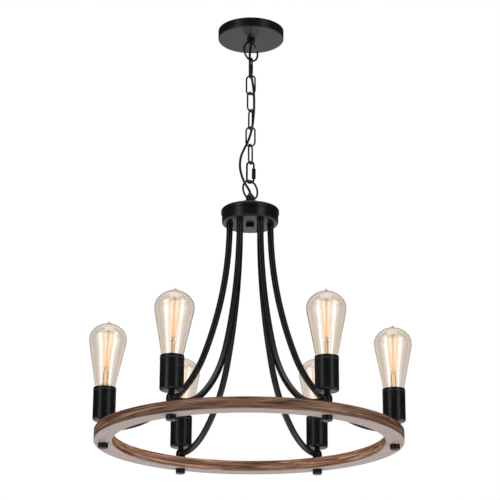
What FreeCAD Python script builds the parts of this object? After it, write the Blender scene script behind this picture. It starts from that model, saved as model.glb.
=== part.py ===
import FreeCAD, Part
import math
import os

import Sketcher
from FreeCAD import Placement, Rotation, Vector

# Six-light ring chandelier on a short chain. Millimetres and degrees, +Z up.
# The origin is the centre of the ceiling plane, and everything hangs below it.

LIGHTS = 6
LINKS = 6

# Driving sizes, each written once
SIZES = {
    # Canopy and the pieces under it
    "canopy_radius": 58.8,
    "canopy_height": 17,
    "canopy_wall": 1,
    "canopy_edge_radius": 2,
    "crossbar_length": 104,
    "crossbar_width": 20,
    "crossbar_thickness": 1.6,
    "crossbar_drop": 2.5,
    "slot_spacing": 79.5,
    "slot_length": 14.5,
    "slot_width": 5,
    "ground_screw_place": 21,
    "ground_screw_radius": 2,
    "ground_screw_head_radius": 3.8,
    "ground_screw_head_height": 2.4,
    "ground_screw_length": 3.6,
    # Threaded tubes, the same one throughout
    "thread_radius": 4.9,
    "thread_bore_radius": 3.5,
    "thread_fit": 0.05,
    "thread_hole_play": 0.3,
    "nut_flat_radius": 7,
    "nut_height": 3,
    "nipple_top_drop": 0.8,
    "nipple_engagement": 3.4,
    # Loops at the two ends of the chain
    "collar_radius": 7.15,
    "collar_height": 5,
    "loop_radius": 17.25,
    "loop_wire_radius": 1.75,
    "loop_sink": 1,
    "loop_gap_start_angle": 20,
    "loop_gap_end_angle": 46,
    "stem_radius": 7.5,
    "stem_height": 11.8,
    "stem_tip_height": 6.7,
    "stem_tip_radius": 3.2,
    "stem_thread_depth": 9.3,
    "hub_loop_rise": 12.8,
    # Chain
    "link_length": 39.4,
    "link_width": 18.6,
    "link_wire_radius": 1.5,
    "link_gap": 0.25,
    "quick_link_length": 43,
    "quick_link_width": 16,
    "quick_link_wire_radius": 1.75,
    "sleeve_radius": 3.5,
    "sleeve_flat_radius": 3.25,
    "sleeve_length": 18,
    "sleeve_lift": 1.2,
    "sleeve_fit": 0.05,
    "quick_link_gap": 6,
    "quick_link_gap_lift": 2,
    # Supply cable
    "cable_radius": 2.15,
    "cable_hole_play": 0.3,
    # Hub
    "hub_rim_beyond_arms": 13.7,
    "hub_cup_height": 23,
    "hub_cup_edge_radius": 4.5,
    "hub_wall": 1.2,
    "hub_lid_lip": 1.6,
    "hub_lid_overlap": 4,
    "hub_lid_play": 0.3,
    "hub_lid_side_height": 8.2,
    "hub_lid_crown_height": 7,
    "hub_lid_disc_radius": 18.6,
    "hub_lid_disc_height": 5.3,
    "hub_lid_edge_radius": 5,
    "hub_nut_radius": 7.3,
    "hub_nut_height": 6.4,
    "hub_nut_chamfer": 1.2,
    "hub_nut_depth": 4.6,
    # Arms
    "arm_circle_radius": 35.5,
    "arm_radius": 5.5,
    "arm_wall": 1,
    "arm_drop": 362,
    "arm_thread_height": 6,
    "arm_top_angle": 20.2,
    "arm_middle_angle": 34.6,
    "arm_foot_bend_radius": 131,
    "arm_foot_run": 13,
    "ferrule_wall": 0.8,
    "ferrule_height": 3.5,
    "ferrule_play": 0.1,
    # Ring
    "ring_radius": 260,
    "ring_width": 31,
    "ring_height": 19,
    "ring_chamfer": 0.8,
    # Fittings at each light
    "knuckle_end_radius": 6.6,
    "knuckle_height": 15,
    "knuckle_bulge_radius": 14.8,
    "knuckle_bore_height": 8,
    "arm_seat_fit": 0.1,
    "arm_end_gap": 0.5,
    "nipple_in_knuckle": 6,
    "cap_nut_radius": 8.5,
    "cap_nut_height": 9,
    "cap_nut_chamfer": 1.6,
    "cap_nut_depth": 7.5,
    "nipple_in_nut": 7,
    "neck_gap": 4.5,
    "neck_in_knuckle": 6,
    "neck_above_floor": 6,
    # Socket cup and lampholder
    "cup_radius": 19.3,
    "cup_height": 56.8,
    "cup_wall": 0.9,
    "cup_edge_radius": 4,
    "cup_bead_drop": 5,
    "cup_bead_height": 1.6,
    "cup_bead_rise": 0.5,
    "holder_radius": 17.3,
    "holder_height": 45.5,
    "holder_cavity_floor": 22,
    "holder_cap_play": 0.4,
    "holder_thread_depth": 6,
    # Bulb
    "cap_radius": 13,
    "cap_height": 26,
    "cap_wall": 0.5,
    "cap_shell_height": 20,
    "cap_tip_radius": 5,
    "cap_tip_height": 2,
    "cap_rest_gap": 0.3,
    "cap_floor_height": 7,
    "neck_play": 0.4,
    "neck_sink": 7,
    "bulb_glass_lift": 4.8,
    "glass_wall": 0.7,
    "glass_neck_rise": 7,
    "glass_cone_angle": 11,
    "glass_side_radius": 54,
    "glass_body_height": 88.3,
    "glass_radius": 32,
    "glass_dome_height": 27.2,
    "dome_shoulder_share": 0.8,
    "glass_tip_radius": 2.4,
    "glass_tip_flare": 3,
    "glass_tip_height": 4.2,
    "mount_foot_radius": 10.9,
    "mount_stem_radius": 2.6,
    "mount_tip_drop": 10,
    "mount_tip_radius": 1.4,
    "cage_radius": 5,
    "cage_wire_radius": 0.5,
    "cage_collar_height": 1.2,
    "cage_foot_rise": 15,
    # Overrun of a cutting tool past the face that it opens
    "overrun": 1,
}

# Angle of each piece of the chain about the vertical, from the X axis
LOOP_TURN = 46
LINK_TURNS = (-72, -12, 45, -66, -2, 66)
QUICK_LINK_TURN = -15
HUB_LOOP_TURN = 43

# A bulb's glass may be cemented a little off square in its cap, in degrees, for each light
BULB_LEANS = (0, 0, 0, 2, 1.5, 0)

# Which bulbs' glass is cemented higher in its cap, as shares of the bulb's lift
BULB_LIFTS = (0, 0, 0, 1, 0, 0)

# Sides of a nut
NUT_SIDES = 6

# How close an edge must be to the radius and height that it is looked for at
EDGE_MATCH = 0.0001

# Strands of the filament cage
CAGE_STRANDS = 6

# Share of the shorter run beside a corner of the cable that its arc takes
CABLE_TRIM_SHARE = 0.45

# Points of the supply cable from the canopy loop's bore to the hub stem's bore
CABLE_ROUTE = (
    (0, 0, -19),
    (0, 0, -27),
    (-1.2, -2.3, -38),
    (-2.1, -6.7, -49),
    (-2, -9.9, -60),
    (-1.2, -11.2, -72),
    (0.1, -11, -84),
    (1.8, -9.6, -96),
    (3.8, -7.8, -108),
    (5.5, -5.7, -121),
    (6.2, -3.7, -134),
    (6.2, -1.7, -147),
    (5.7, 0.7, -160),
    (4.5, 3.5, -173),
    (2.8, 5.6, -185),
    (0.3, 6.4, -196),
    (-2.8, 6.1, -207),
    (-7.2, 5.1, -218),
    (-12.4, 3.9, -229),
    (-16.5, 2.7, -240),
    (-18.4, 1.7, -252),
    (-18.3, 0.9, -264),
    (-15.9, 0.4, -276),
    (-12.1, 0.1, -287),
    (-7.3, 0, -296.5),
    (-2.7, 0, -303.6),
    (0, 0, -310.2),
    (0, 0, -316.2),
)

doc = FreeCAD.newDocument("chandelier")
sheet = doc.addObject("Spreadsheet::Sheet", "sizes")


class Size:
    """A formula over the sheet's cells, with the number that it gives."""

    def __init__(self, formula, number):
        self.formula = formula
        self.number = number

    def __add__(self, other):
        other = as_size(other)
        return Size(f"({self.formula} + {other.formula})", self.number + other.number)

    def __sub__(self, other):
        other = as_size(other)
        return Size(f"({self.formula} - {other.formula})", self.number - other.number)

    def __mul__(self, other):
        other = as_size(other)
        return Size(f"{self.formula} * {other.formula}", self.number * other.number)

    def __truediv__(self, other):
        other = as_size(other)
        return Size(f"({self.formula} / ({other.formula}))", self.number / other.number)

    def __neg__(self):
        return Size(f"(0 - {self.formula})", -self.number)

    def __radd__(self, other):
        return as_size(other) + self

    def __rsub__(self, other):
        return as_size(other) - self

    def __rmul__(self, other):
        return as_size(other) * self


def as_size(value):
    """A plain number as a Size, and a Size as it is."""
    return value if isinstance(value, Size) else Size(f"({float(value):.12f})", float(value))


def sine(angle):
    """The sine of an angle in degrees."""
    return Size(f"sin({angle.formula})", math.sin(math.radians(angle.number)))


def cosine(angle):
    """The cosine of an angle in degrees."""
    return Size(f"cos({angle.formula})", math.cos(math.radians(angle.number)))


class Cells:
    """The sheet's cells by name."""


v = Cells()
rows_used = 0


def cell(name, content, number):
    """A new cell of the sheet with its alias, and the Size that reads it."""
    global rows_used
    rows_used += 1
    sheet.set(f"A{rows_used}", name)
    sheet.set(f"B{rows_used}", content)
    sheet.setAlias(f"B{rows_used}", name)
    setattr(v, name, Size(f"sizes.{name}", number))
    return getattr(v, name)


def worked_out(name, size):
    """A cell that holds a formula over the other cells."""
    return cell(name, "=" + size.formula.replace("sizes.", ""), size.number)


def bind(thing, name, size):
    """A property that follows a Size."""
    thing.setExpression(name, as_size(size).formula)


for size_name, size_number in SIZES.items():
    cell(size_name, str(size_number), float(size_number))


def seat(thing, label, turn=0, out=0, at=0):
    """The label and the place of a sub-part: turned about Z, out from the axis along that turn, and up."""
    thing.Label = label
    out = as_size(out)
    thing.Placement = Placement(Vector(), Rotation(Vector(0, 0, 1), turn))
    direction = Rotation(Vector(0, 0, 1), turn).multVec(Vector(1, 0, 0))
    bind(thing, "Placement.Base.x", out * direction.x)
    bind(thing, "Placement.Base.y", out * direction.y)
    bind(thing, "Placement.Base.z", at)
    return thing


def new_body(name):
    """An empty body."""
    return doc.addObject("PartDesign::Body", name)


def new_sketch(body, name, plane):
    """A sketch on one of the body's own origin planes."""
    sketch = body.newObject("Sketcher::SketchObject", name)
    support = [f for f in body.Origin.OriginFeatures if f.Role == plane][0]
    sketch.AttachmentSupport = [(support, "")]
    sketch.MapMode = "FlatFace"
    return sketch


def fix_point(sketch, edge, end, place):
    """Holds one end of an edge at a place given in sizes, on an axis where a coordinate is zero."""
    for kind, axis, coordinate in (("DistanceX", -2, place[0]), ("DistanceY", -1, place[1])):
        if isinstance(coordinate, Size):
            index = sketch.addConstraint(Sketcher.Constraint(kind, -1, 1, edge, end, coordinate.number))
            bind(sketch, f"Constraints[{index}]", coordinate)
        else:
            sketch.addConstraint(Sketcher.Constraint("PointOnObject", edge, end, axis))


def outline(sketch, points, bends=None, closed=True):
    """Edges through the points. An edge is an arc where bends gives a radius for the point it leaves: plus turns left."""
    bends = bends or {}
    count = len(points) if closed else len(points) - 1
    ends = []
    for i in range(count):
        first, last = ([as_size(c).number for c in p] for p in (points[i], points[(i + 1) % len(points)]))
        start, stop = Vector(first[0], first[1], 0), Vector(last[0], last[1], 0)
        if i not in bends:
            sketch.addGeometry(Part.LineSegment(start, stop))
            ends.append((1, 2))
            continue
        radius, left = bends[i]
        chord = stop - start
        rise = math.sqrt(max(radius.number**2 - chord.Length**2 / 4, 0))
        normal = Vector(-chord.y, chord.x, 0).normalize() * (rise if left else -rise)
        middle = (start + stop) * 0.5 + normal
        low, high = (start, stop) if left else (stop, start)
        angles = [math.atan2(p.y - middle.y, p.x - middle.x) for p in (low, high)]
        circle = Part.Circle(middle, Vector(0, 0, 1), radius.number)
        sketch.addGeometry(Part.ArcOfCircle(circle, angles[0], angles[1]))
        index = sketch.addConstraint(Sketcher.Constraint("Radius", i, radius.number))
        bind(sketch, f"Constraints[{index}]", radius)
        ends.append((1, 2) if left else (2, 1))
    for i in range(count):
        fix_point(sketch, i, ends[i][0], points[i])
        if i + 1 < count:
            sketch.addConstraint(Sketcher.Constraint("Coincident", i, ends[i][1], i + 1, ends[i + 1][0]))
    if closed:
        sketch.addConstraint(Sketcher.Constraint("Coincident", count - 1, ends[-1][1], 0, ends[0][0]))
    else:
        fix_point(sketch, count - 1, ends[-1][1], points[-1])


def circle_in(sketch, across, up, radius):
    """A circle in a sketch."""
    centre = Vector(as_size(across).number, as_size(up).number, 0)
    edge = sketch.addGeometry(Part.Circle(centre, Vector(0, 0, 1), radius.number))
    fix_point(sketch, edge, 3, (across, up))
    index = sketch.addConstraint(Sketcher.Constraint("Radius", edge, radius.number))
    bind(sketch, f"Constraints[{index}]", radius)


def turned(name, points, bends=None):
    """A body turned about its own Z axis from an outline of (radius, height) points."""
    body = new_body(name)
    sketch = new_sketch(body, name + "_outline", "XZ_Plane")
    outline(sketch, points, bends)
    turn = body.newObject("PartDesign::Revolution", name + "_turn")
    turn.Profile = sketch
    turn.ReferenceAxis = (sketch, ["V_Axis"])
    turn.Angle = 360
    return body


def tube(name, radius, bore, length):
    """A straight tube on the Z axis."""
    zero = 0
    return turned(name, [(bore, zero), (radius, zero), (radius, length), (bore, length)])


def cut_through(body, name, sketch):
    """A pocket right through on both sides of its sketch."""
    pocket = body.newObject("PartDesign::Pocket", name)
    pocket.Profile = sketch
    pocket.Type = "ThroughAll"
    pocket.Midplane = True
    return pocket


def round_holes(body, name, places, radius, pattern=0):
    """Holes right through along Z, and a pattern of them about Z."""
    sketch = new_sketch(body, name + "_sketch", "XY_Plane")
    for across, up in places:
        circle_in(sketch, across, up, radius)
    pocket = cut_through(body, name, sketch)
    if pattern:
        around = body.newObject("PartDesign::PolarPattern", name + "_around")
        around.Originals = [pocket]
        around.Axis = (sketch, ["N_Axis"])
        around.Angle = 360
        around.Occurrences = pattern
        body.Tip = around


def solid(kind, name, sizes, base=(0, 0, 0), rotation=None):
    """A Part primitive with its sizes and place bound to the sheet."""
    thing = doc.addObject(kind, name)
    for prop, size in sizes.items():
        bind(thing, prop, size)
    if rotation is not None:
        thing.Placement = Placement(Vector(), rotation)
    for axis, place in zip("xyz", base):
        bind(thing, f"Placement.Base.{axis}", place)
    return thing


def joined(name, shapes):
    """One solid from several."""
    fuse = doc.addObject("Part::MultiFuse", name)
    fuse.Shapes = shapes
    fuse.Refine = True
    return fuse


def cut(name, base, tool):
    """Base without tool."""
    thing = doc.addObject("Part::Cut", name)
    thing.Base = base
    thing.Tool = tool
    return thing


def group(label, things):
    """Identical separate solids in one node."""
    compound = doc.addObject("Part::Compound", label)
    compound.Links = things
    compound.Label = label
    return compound


def light_turns():
    """The angle of each light about the vertical."""
    return [360 / LIGHTS * i for i in range(LIGHTS)]


# Heights that follow from the pieces stacked between ceiling and ring
worked_out("collar_bottom", -(v.canopy_height + v.collar_height))
worked_out("loop_centre", v.collar_bottom + v.loop_sink - v.loop_radius - v.loop_wire_radius)
worked_out("joint_place_1", v.loop_centre - v.loop_radius)
worked_out("link_reach", v.link_length - 2 * v.link_wire_radius)
worked_out("hook_loop_link", v.loop_wire_radius + v.link_wire_radius + v.link_gap)
worked_out("hook_link_link", 2 * v.link_wire_radius + v.link_gap)
worked_out("hook_link_quick", v.link_wire_radius + v.quick_link_wire_radius + v.link_gap)
worked_out("hook_quick_loop", v.quick_link_wire_radius + v.loop_wire_radius + v.link_gap)
worked_out("first_link_centre", v.joint_place_1 + v.hook_loop_link - v.link_reach / 2)
worked_out("link_pitch", v.link_reach - v.hook_link_link)
worked_out("joint_place_7", v.first_link_centre - (LINKS - 1) * v.link_pitch - v.link_reach / 2)
worked_out("quick_link_reach", v.quick_link_length - 2 * v.quick_link_wire_radius)
worked_out("quick_link_centre", v.joint_place_7 + v.hook_link_quick - v.quick_link_reach / 2)
worked_out("joint_place_8", v.quick_link_centre - v.quick_link_reach / 2)
worked_out("hub_loop_centre", v.joint_place_8 + v.hook_quick_loop - v.loop_radius)
worked_out("stem_bottom", v.hub_loop_centre - v.hub_loop_rise - v.stem_height)
worked_out("hub_cup_radius", v.arm_circle_radius + v.hub_rim_beyond_arms)
worked_out("lid_bottom", v.hub_cup_height - v.hub_lid_overlap)
worked_out("lid_height", v.hub_lid_side_height + v.hub_lid_crown_height + v.hub_lid_disc_height)
worked_out("hub_bottom", v.stem_bottom - v.lid_height - v.lid_bottom)
worked_out("arm_foot_place", v.hub_bottom - v.arm_drop)
worked_out("ring_top", v.arm_foot_place - v.knuckle_bore_height)
worked_out("ring_bottom", v.ring_top - v.ring_height)
worked_out("light_circle_radius", v.ring_radius - v.ring_width / 2)
worked_out("knuckle_top", v.ring_top + v.knuckle_height)
worked_out("cup_bottom", v.knuckle_top + v.neck_gap)
worked_out("thread_hole_radius", v.thread_radius + v.thread_hole_play)
worked_out("thread_seat_radius", v.thread_radius + v.thread_fit)
worked_out("bulb_bottom", v.cup_bottom + v.cup_wall + v.holder_cavity_floor + v.cap_rest_gap)
worked_out("cable_hole_radius", v.cable_radius + v.cable_hole_play)


def make_crossbar():
    """Steel strip with two slots, a threaded centre hole and a hole for the ground screw."""
    body = new_body("crossbar")
    sketch = new_sketch(body, "crossbar_outline", "XY_Plane")
    reach, side = v.crossbar_length / 2, v.crossbar_width / 2
    outline(sketch, [(-reach, -side), (reach, -side), (reach, side), (-reach, side)])
    pad = body.newObject("PartDesign::Pad", "crossbar_pad")
    pad.Profile = sketch
    bind(pad, "Length", v.crossbar_thickness)
    round_holes(body, "crossbar_centre", [(0, 0)], v.thread_seat_radius)
    round_holes(body, "crossbar_earth", [(v.ground_screw_place, 0)], v.ground_screw_radius)
    half_width = v.slot_width / 2
    half_run = (v.slot_length - v.slot_width) / 2
    for slot, sign in (("left", -1), ("right", 1)):
        middle = sign * v.slot_spacing / 2
        low, high = middle - half_run, middle + half_run
        round_holes(body, f"slot_{slot}_ends", [(low, 0), (high, 0)], half_width)
        between = new_sketch(body, f"slot_{slot}_outline", "XY_Plane")
        outline(between, [(low, -half_width), (high, -half_width), (high, half_width), (low, half_width)])
        cut_through(body, f"slot_{slot}", between)
    return seat(body, "crossbar", at=-(v.crossbar_drop + v.crossbar_thickness))


def make_ground_screw():
    """Pan-head screw up into the crossbar from below."""
    head, shank = v.ground_screw_head_radius, v.ground_screw_radius - v.thread_fit
    shoulder, top = v.ground_screw_head_height, v.ground_screw_head_height + v.ground_screw_length
    points = [(0, 0), (head / 2, 0), (head, shoulder / 2), (head, shoulder)]
    points += [(shank, shoulder), (shank, top), (0, top)]
    body = turned("ground_screw", points)
    below = v.crossbar_drop + v.crossbar_thickness + v.ground_screw_head_height
    return seat(body, "ground_screw", out=v.ground_screw_place, at=-below)


def hex_nut(name, flat_radius, bore, height):
    """A hexagonal nut on its own Z axis."""
    prism = doc.addObject("Part::Prism", name + "_prism")
    prism.Polygon = NUT_SIDES
    bind(prism, "Circumradius", flat_radius / cosine(as_size(180 / NUT_SIDES)))
    bind(prism, "Height", height)
    hole = solid("Part::Cylinder", name + "_bore", {"Radius": bore, "Height": height})
    return cut(name, prism, hole)


def make_canopy_nipple():
    """Hollow threaded tube between crossbar and loop collar."""
    length = v.canopy_height + v.nipple_engagement - v.nipple_top_drop
    body = tube("canopy_nipple", v.thread_radius, v.thread_bore_radius, length)
    return seat(body, "canopy_nipple", at=-(v.canopy_height + v.nipple_engagement))


def make_nipple_locknut():
    """Hex nut that locks the nipple under the crossbar."""
    nut = hex_nut("nipple_locknut", v.nut_flat_radius, v.thread_seat_radius, v.nut_height)
    return seat(nut, "nipple_locknut", at=-(v.crossbar_drop + v.crossbar_thickness + v.nut_height))


def circle_edges(shape, radius, height):
    """The names of the round edges of that radius at that height."""
    found = []
    for i, edge in enumerate(shape.Edges, 1):
        curve = edge.Curve
        if not isinstance(curve, Part.Circle):
            continue
        if abs(curve.Radius - radius) < EDGE_MATCH and abs(curve.Center.z - height) < EDGE_MATCH:
            found.append(f"Edge{i}")
    return found


def round_edge(body, name, radius, edges):
    """A fillet on the body's round edges, each given by its radius and height."""
    doc.recompute()
    base = body.Tip
    names = [n for r, z in edges for n in circle_edges(base.Shape, as_size(r).number, as_size(z).number)]
    if len(names) != len(edges):
        raise ValueError(f"{name}: {len(names)} of {len(edges)} edges found")
    fillet = body.newObject("PartDesign::Fillet", name)
    fillet.Base = (base, names)
    bind(fillet, "Radius", radius)


def make_canopy():
    """Shallow round cover, open at the ceiling, with a hole for the nipple."""
    rim, wall, top = v.canopy_radius, v.canopy_wall, v.canopy_height
    hole = v.thread_hole_radius
    points = [(hole, 0), (rim, 0), (rim, top), (rim - wall, top), (rim - wall, wall), (hole, wall)]
    body = turned("canopy", points)
    round_edge(body, "canopy_edge", v.canopy_edge_radius, [(rim, 0)])
    return seat(body, "canopy", at=-v.canopy_height)


def upright(turn=0, start=0):
    """A torus's or link's plane stood up on edge and turned about Z, with the arc's start angle."""
    lift = Rotation(Vector(1, 0, 0), 90)
    return Rotation(Vector(0, 0, 1), turn).multiply(lift).multiply(Rotation(Vector(0, 0, 1), start))


def make_canopy_loop():
    """Collar that holds the canopy up, with an open ring under it and bores for nipple and cable."""
    collar = solid(
        "Part::Cylinder",
        "canopy_collar",
        {"Radius": v.collar_radius, "Height": v.collar_height},
        (0, 0, v.collar_bottom),
    )
    ring = solid(
        "Part::Torus",
        "canopy_loop_ring",
        {
            "Radius1": v.loop_radius,
            "Radius2": v.loop_wire_radius,
            "Angle3": 360 - v.loop_gap_end_angle + v.loop_gap_start_angle,
        },
        (0, 0, v.loop_centre),
        upright(LOOP_TURN, SIZES["loop_gap_end_angle"]),
    )
    cable_bore = solid(
        "Part::Cylinder",
        "canopy_loop_cable_bore",
        {
            "Radius": v.cable_hole_radius,
            "Height": v.collar_height + 2 * v.loop_wire_radius + v.overrun,
        },
        (0, 0, v.collar_bottom - 2 * v.loop_wire_radius),
    )
    thread_bore = solid(
        "Part::Cylinder",
        "canopy_loop_thread_bore",
        {"Radius": v.thread_seat_radius, "Height": v.nipple_engagement + v.overrun},
        (0, 0, -(v.canopy_height + v.nipple_engagement)),
    )
    body = joined("canopy_loop_body", [collar, ring])
    bores = joined("canopy_loop_bores", [cable_bore, thread_bore])
    loop = cut("canopy_loop", body, bores)
    loop.Label = "canopy_loop"
    return loop


def oval(name, wire, length, width):
    """An oval of round wire in its own XZ plane about its centre."""
    bend = (width - 2 * wire) / 2
    straight = length - width
    ends = []
    for end, start, sign in (("top", 0, 1), ("bottom", 180, -1)):
        sizes = {"Radius1": bend, "Radius2": wire, "Angle3": as_size(180)}
        place = (0, 0, sign * straight / 2)
        ends.append(solid("Part::Torus", f"{name}_{end}", sizes, place, upright(0, start)))
    for side, sign in (("left", -1), ("right", 1)):
        sizes = {"Radius": wire, "Height": straight}
        place = (sign * bend, 0, -straight / 2)
        ends.append(solid("Part::Cylinder", f"{name}_{side}", sizes, place))
    return joined(name, ends)


def make_chain():
    """Six oval links, each turned against the next."""
    links = []
    for i in range(LINKS):
        name = f"chain_link_{i + 1}"
        link = oval(name, v.link_wire_radius, v.link_length, v.link_width)
        links.append(seat(link, name, LINK_TURNS[i], at=v.first_link_centre - i * v.link_pitch))
    return links


def make_quick_link():
    """Open oval link, its gap low on the right arm inside the sleeve."""
    whole = oval("quick_link_oval", v.quick_link_wire_radius, v.quick_link_length, v.quick_link_width)
    bend = (v.quick_link_width - 2 * v.quick_link_wire_radius) / 2
    straight = v.quick_link_length - v.quick_link_width
    gap = solid(
        "Part::Cylinder",
        "quick_link_gap_tool",
        {"Radius": v.quick_link_wire_radius + v.overrun, "Height": v.quick_link_gap},
        (bend, 0, v.quick_link_gap_lift - straight / 2),
    )
    link = cut("quick_link", whole, gap)
    seat(link, "quick_link", QUICK_LINK_TURN, at=v.quick_link_centre)

    bore = v.quick_link_wire_radius + v.sleeve_fit
    nut = hex_nut("quick_sleeve_nut", v.sleeve_flat_radius, bore, v.sleeve_length)
    round_tool = tube("quick_sleeve_round", v.sleeve_radius, bore, v.sleeve_length)
    sleeve = doc.addObject("Part::Common", "quick_link_sleeve")
    sleeve.Base = nut
    sleeve.Tool = round_tool
    lift = v.sleeve_lift - straight / 2
    seat(sleeve, "quick_link_sleeve", QUICK_LINK_TURN, out=bend, at=v.quick_link_centre + lift)
    return [link, sleeve]


def make_hub_loop():
    """Stem with a pointed tip and a ring through it, bored for the hub rod and the cable."""
    base = v.stem_bottom
    shoulder = base + v.stem_height
    stem = solid(
        "Part::Cylinder", "hub_stem", {"Radius": v.stem_radius, "Height": v.stem_height}, (0, 0, base)
    )
    tip = solid(
        "Part::Cone",
        "hub_stem_tip",
        {"Radius1": v.stem_radius, "Radius2": v.stem_tip_radius, "Height": v.stem_tip_height},
        (0, 0, shoulder),
    )
    ring = solid(
        "Part::Torus",
        "hub_loop_ring",
        {"Radius1": v.loop_radius, "Radius2": v.loop_wire_radius, "Angle3": as_size(360)},
        (0, 0, v.hub_loop_centre),
        upright(HUB_LOOP_TURN),
    )
    thread_bore = solid(
        "Part::Cylinder",
        "hub_stem_thread_bore",
        {"Radius": v.thread_seat_radius, "Height": v.stem_thread_depth + v.overrun},
        (0, 0, base - v.overrun),
    )
    cable_bore = solid(
        "Part::Cylinder",
        "hub_stem_cable_bore",
        {"Radius": v.cable_hole_radius, "Height": v.stem_height + v.stem_tip_height + v.overrun},
        (0, 0, base),
    )
    body = joined("hub_loop_body", [stem, tip, ring])
    bores = joined("hub_loop_bores", [thread_bore, cable_bore])
    loop = cut("hub_loop", body, bores)
    loop.Label = "hub_loop"
    return loop


def make_hub_cup():
    """Shallow pan, open at the top, with holes for the rod and the arms' threaded ends."""
    rim, wall, top = v.hub_cup_radius, v.hub_wall, v.hub_cup_height
    points = [(0, 0), (rim, 0), (rim, top), (rim - wall, top), (rim - wall, wall), (0, wall)]
    body = turned("hub_cup", points)
    inner = v.hub_cup_edge_radius - v.hub_wall
    round_edge(body, "hub_cup_edge", v.hub_cup_edge_radius, [(rim, 0)])
    round_edge(body, "hub_cup_inner_edge", inner, [(rim - wall, wall)])
    round_holes(body, "hub_cup_centre_hole", [(0, 0)], v.thread_hole_radius)
    round_holes(body, "hub_cup_arm_hole", [(v.arm_circle_radius, 0)], v.thread_hole_radius, LIGHTS)
    return seat(body, "hub_cup", at=v.hub_bottom)


def make_hub_cap():
    """Stepped lid over the pan: a straight side, a low crown and a raised disc under the stem."""
    rim, wall = v.hub_cup_radius + v.hub_lid_lip, v.hub_wall
    side = v.hub_lid_side_height
    crown = side + v.hub_lid_crown_height
    top = v.lid_height
    disc, hole = v.hub_lid_disc_radius, v.thread_hole_radius
    inner_rim = v.hub_cup_radius + v.hub_lid_play
    inner_disc = disc - wall
    points = [(inner_rim, 0), (rim, 0), (rim, side), (disc, crown), (disc, top), (hole, top)]
    points += [(hole, top - wall), (inner_disc, top - wall), (inner_disc, crown - wall), (inner_rim, side - wall)]
    body = turned("hub_cap", points)
    round_edge(body, "hub_cap_edge", v.hub_lid_edge_radius, [(rim, side)])
    return seat(body, "hub_cap", at=v.hub_bottom + v.lid_bottom)


def make_hub_rod():
    """Hollow threaded rod from the cap nut up into the stem."""
    below = v.hub_nut_depth
    length = below + v.lid_bottom + v.lid_height + v.stem_thread_depth
    body = tube("hub_rod", v.thread_radius, v.thread_bore_radius, length)
    return seat(body, "hub_rod", at=v.hub_bottom - below)


def closed_nut(name, radius, height, chamfer, depth):
    """A round nut, closed below, with a chamfered foot and a blind threaded bore."""
    bore = v.thread_seat_radius
    floor = height - depth
    points = [(0, 0), (radius - chamfer, 0), (radius, chamfer), (radius, height)]
    points += [(bore, height), (bore, floor), (0, floor)]
    return turned(name, points)


def make_hub_nut():
    """Nut under the middle of the pan."""
    body = closed_nut("hub_cap_nut", v.hub_nut_radius, v.hub_nut_height, v.hub_nut_chamfer, v.hub_nut_depth)
    return seat(body, "hub_cap_nut", at=v.hub_bottom - v.hub_nut_height)


def make_arm_fastenings():
    """A ferrule under the pan and a hex nut in it for each arm."""
    ferrules, nuts = [], []
    bore = v.arm_radius + v.ferrule_play
    for i, turn in enumerate(light_turns()):
        ferrule = tube(f"ferrule_{i + 1}", bore + v.ferrule_wall, bore, v.ferrule_height)
        place = v.hub_bottom - v.ferrule_height
        ferrules.append(seat(ferrule, ferrule.Name, turn, v.arm_circle_radius, place))
        nut = hex_nut(f"arm_nut_{i + 1}", v.nut_flat_radius, v.thread_seat_radius, v.nut_height)
        nuts.append(seat(nut, nut.Name, turn, v.arm_circle_radius, v.hub_bottom + v.hub_wall))
    return [group("arm_ferrules", ferrules), group("arm_locknuts", nuts)]


def arm_bends():
    """The radii of an arm's two upper bends, which bring it from the pan down and out to the foot bend."""
    top, middle = sine(v.arm_top_angle), sine(v.arm_top_angle + v.arm_middle_angle)
    top_cosine = cosine(v.arm_top_angle)
    middle_cosine = cosine(v.arm_top_angle + v.arm_middle_angle)
    reach = v.light_circle_radius - v.arm_foot_run - v.arm_circle_radius
    across = reach - v.arm_foot_bend_radius * middle_cosine
    down = v.arm_drop - v.arm_foot_bend_radius * (1 - middle)
    spread = (1 - top_cosine) * (middle - top) - top * (top_cosine - middle_cosine)
    upper = (across * (middle - top) - down * (top_cosine - middle_cosine)) / spread
    lower = ((1 - top_cosine) * down - top * across) / spread
    worked_out("arm_upper_bend_radius", upper)
    worked_out("arm_middle_bend_radius", lower)


def make_arm(number, turn):
    """A tube bent through three arcs from the pan, down and out, level into its knuckle."""
    name = f"arm_{number}"
    body = new_body(name)
    start = v.arm_circle_radius
    top, both = v.arm_top_angle, v.arm_top_angle + v.arm_middle_angle
    upper, middle, foot = v.arm_upper_bend_radius, v.arm_middle_bend_radius, v.arm_foot_bend_radius
    first = (start + upper * (1 - cosine(top)), -(upper * sine(top)))
    second = (
        first[0] + middle * (cosine(top) - cosine(both)),
        first[1] - middle * (sine(both) - sine(top)),
    )
    level = -v.arm_drop
    third = (v.light_circle_radius - v.arm_foot_run, level)
    end = (v.light_circle_radius - v.thread_radius - v.arm_end_gap, level)
    path = new_sketch(body, name + "_path", "XZ_Plane")
    bends = {0: (upper, True), 1: (middle, True), 2: (foot, True)}
    outline(path, [(start, 0), first, second, third, end], bends, closed=False)
    section = new_sketch(body, name + "_section", "XY_Plane")
    circle_in(section, start, 0, v.arm_radius)
    circle_in(section, start, 0, v.arm_radius - v.arm_wall)
    pipe = body.newObject("PartDesign::AdditivePipe", name + "_pipe")
    pipe.Profile = section
    pipe.Spine = path
    thread = new_sketch(body, name + "_thread_section", "XY_Plane")
    circle_in(thread, start, 0, v.thread_radius)
    circle_in(thread, start, 0, v.thread_bore_radius)
    pad = body.newObject("PartDesign::Pad", name + "_thread")
    pad.Profile = thread
    bind(pad, "Length", v.arm_thread_height)
    return seat(body, name, turn, at=v.hub_bottom)


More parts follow.
